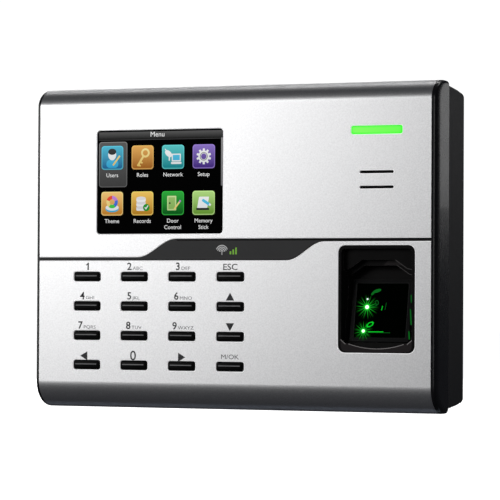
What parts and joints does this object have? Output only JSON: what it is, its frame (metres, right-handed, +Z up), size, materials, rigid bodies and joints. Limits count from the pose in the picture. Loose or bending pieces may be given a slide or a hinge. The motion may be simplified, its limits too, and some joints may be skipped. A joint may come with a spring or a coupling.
{
  "type": "fingerprint terminal",
  "caption": "Wall-mounted access and attendance terminal with a colour display, keypad, status light, speaker slots and a leaning fingerprint sensor in a hooded well.",
  "frame": {"origin": "centre of the wall plate's back face, which is also the centre of its four screw holes, on the wall", "axes": "+X to the right as seen from the front, +Y back into the wall, +Z up"},
  "size_m": [0.182, 0.042, 0.138],
  "materials": {
    "silver_paint": "satin metallic",
    "gloss_black": "high gloss",
    "matte_black": "fine texture",
    "housing_black": "fine texture",
    "display_glass": "polished",
    "gasket_rubber": "matt",
    "lcd_glass": "polished",
    "steel": "brushed",
    "zinc_steel": "zinc plated",
    "green_lens": "diffusing",
    "led_white": "diffusing",
    "led_green": "clear",
    "circuit_board": "solder mask",
    "speaker_frame": "matt",
    "mesh_cloth": "woven",
    "key_gloss": "gloss",
    "silicone": "translucent matt",
    "contact_gold": "plated",
    "ribbon_white": "smooth",
    "sensor_glass": "polished",
    "chip_black": "matt",
    "jack_shell": "tinned",
    "terminal_green": "matt",
    "relay_blue": "smooth",
    "capacitor_sleeve": "smooth",
    "switch_red": "smooth",
    "plunger_white": "smooth"
  },
  "bodies": {
    "wall_bracket": {"wall_plate": "zinc_steel"},
    "terminal": {"upper_front_panel": "silver_paint", "lower_front_panel": "silver_paint", "accent_strip": "gloss_black", "left_end_cap": "gloss_black", "right_end_cap": "gloss_black", "front_frame": "matte_black", "display_window": "display_glass", "display_gasket": "gasket_rubber", "lcd_panel": "lcd_glass", "lcd_backlight": "steel", "light_pipe": "green_lens", "status_leds": "led_white", "status_board": "circuit_board", "speaker": "speaker_frame", "speaker_mesh": "mesh_cloth", "keypad_mat": "silicone", "dome_contacts": "contact_gold", "keypad_board": "circuit_board", "keypad_ribbon": "ribbon_white", "sensor_bezel": "matte_black", "sensor_frame": "matte_black", "sensor_platen": "sensor_glass", "sensor_housing": "matte_black", "sensor_leds": "led_green", "sensor_led_board": "circuit_board", "sensor_camera": "chip_black", "main_board": "circuit_board", "board_chips": "chip_black", "coin_cell": "steel", "io_board": "circuit_board", "ethernet_jack": "jack_shell", "terminal_blocks": "terminal_green", "relay": "relay_blue", "capacitors": "capacitor_sleeve", "usb_port": "jack_shell", "usb_board": "circuit_board", "rear_housing": "housing_black", "case_screws": "zinc_steel", "board_screws": "zinc_steel", "tamper_switch": "switch_red"},
    "locking_screw": {"lock_screw": "zinc_steel"},
    "tamper_pin": {"tamper_plunger": "plunger_white"},
    "button_1": {"key_1": "key_gloss"},
    "button_2": {"key_2": "key_gloss"},
    "button_3": {"key_3": "key_gloss"},
    "button_esc": {"key_esc": "key_gloss"},
    "button_4": {"key_4": "key_gloss"},
    "button_5": {"key_5": "key_gloss"},
    "button_6": {"key_6": "key_gloss"},
    "button_up": {"key_up": "key_gloss"},
    "button_7": {"key_7": "key_gloss"},
    "button_8": {"key_8": "key_gloss"},
    "button_9": {"key_9": "key_gloss"},
    "button_down": {"key_down": "key_gloss"},
    "button_left": {"key_left": "key_gloss"},
    "button_0": {"key_0": "key_gloss"},
    "button_right": {"key_right": "key_gloss"},
    "button_ok": {"key_ok": "key_gloss"}
  },
  "joints": [
    {"name": "terminal_lift", "type": "slide", "parent": "wall_bracket", "child": "terminal", "axis": [0, 0, 1], "range_m": [0, 0.008]},
    {"name": "lock_screw_turn_out", "type": "slide", "parent": "terminal", "child": "locking_screw", "axis": [0, 0, 1], "range_m": [-0.012, 0]},
    {"name": "tamper_press", "type": "slide", "parent": "terminal", "child": "tamper_pin", "axis": [0, 1, 0], "range_m": [0, 0.0015], "stiffness_N_per_m": 60, "springref_m": 0.003},
    {"name": "press_1", "type": "slide", "parent": "terminal", "child": "button_1", "axis": [0, 1, 0], "range_m": [0, 0.0009], "stiffness_N_per_m": 500, "springref_m": -0.001},
    {"name": "press_2", "type": "slide", "parent": "terminal", "child": "button_2", "axis": [0, 1, 0], "range_m": [0, 0.0009], "stiffness_N_per_m": 500, "springref_m": -0.001},
    {"name": "press_3", "type": "slide", "parent": "terminal", "child": "button_3", "axis": [0, 1, 0], "range_m": [0, 0.0009], "stiffness_N_per_m": 500, "springref_m": -0.001},
    {"name": "press_esc", "type": "slide", "parent": "terminal", "child": "button_esc", "axis": [0, 1, 0], "range_m": [0, 0.0009], "stiffness_N_per_m": 500, "springref_m": -0.001},
    {"name": "press_4", "type": "slide", "parent": "terminal", "child": "button_4", "axis": [0, 1, 0], "range_m": [0, 0.0009], "stiffness_N_per_m": 500, "springref_m": -0.001},
    {"name": "press_5", "type": "slide", "parent": "terminal", "child": "button_5", "axis": [0, 1, 0], "range_m": [0, 0.0009], "stiffness_N_per_m": 500, "springref_m": -0.001},
    {"name": "press_6", "type": "slide", "parent": "terminal", "child": "button_6", "axis": [0, 1, 0], "range_m": [0, 0.0009], "stiffness_N_per_m": 500, "springref_m": -0.001},
    {"name": "press_up", "type": "slide", "parent": "terminal", "child": "button_up", "axis": [0, 1, 0], "range_m": [0, 0.0009], "stiffness_N_per_m": 500, "springref_m": -0.001},
    {"name": "press_7", "type": "slide", "parent": "terminal", "child": "button_7", "axis": [0, 1, 0], "range_m": [0, 0.0009], "stiffness_N_per_m": 500, "springref_m": -0.001},
    {"name": "press_8", "type": "slide", "parent": "terminal", "child": "button_8", "axis": [0, 1, 0], "range_m": [0, 0.0009], "stiffness_N_per_m": 500, "springref_m": -0.001},
    {"name": "press_9", "type": "slide", "parent": "terminal", "child": "button_9", "axis": [0, 1, 0], "range_m": [0, 0.0009], "stiffness_N_per_m": 500, "springref_m": -0.001},
    {"name": "press_down", "type": "slide", "parent": "terminal", "child": "button_down", "axis": [0, 1, 0], "range_m": [0, 0.0009], "stiffness_N_per_m": 500, "springref_m": -0.001},
    {"name": "press_left", "type": "slide", "parent": "terminal", "child": "button_left", "axis": [0, 1, 0], "range_m": [0, 0.0009], "stiffness_N_per_m": 500, "springref_m": -0.001},
    {"name": "press_0", "type": "slide", "parent": "terminal", "child": "button_0", "axis": [0, 1, 0], "range_m": [0, 0.0009], "stiffness_N_per_m": 500, "springref_m": -0.001},
    {"name": "press_right", "type": "slide", "parent": "terminal", "child": "button_right", "axis": [0, 1, 0], "range_m": [0, 0.0009], "stiffness_N_per_m": 500, "springref_m": -0.001},
    {"name": "press_ok", "type": "slide", "parent": "terminal", "child": "button_ok", "axis": [0, 1, 0], "range_m": [0, 0.0009], "stiffness_N_per_m": 500, "springref_m": -0.001}
  ],
  "couplings": [
    {"joint": "lock_screw_turn_out", "follows": "terminal_lift", "ratio": -1.5},
    {"joint": "tamper_press", "follows": "terminal_lift", "ratio": 0.1875}
  ]
}
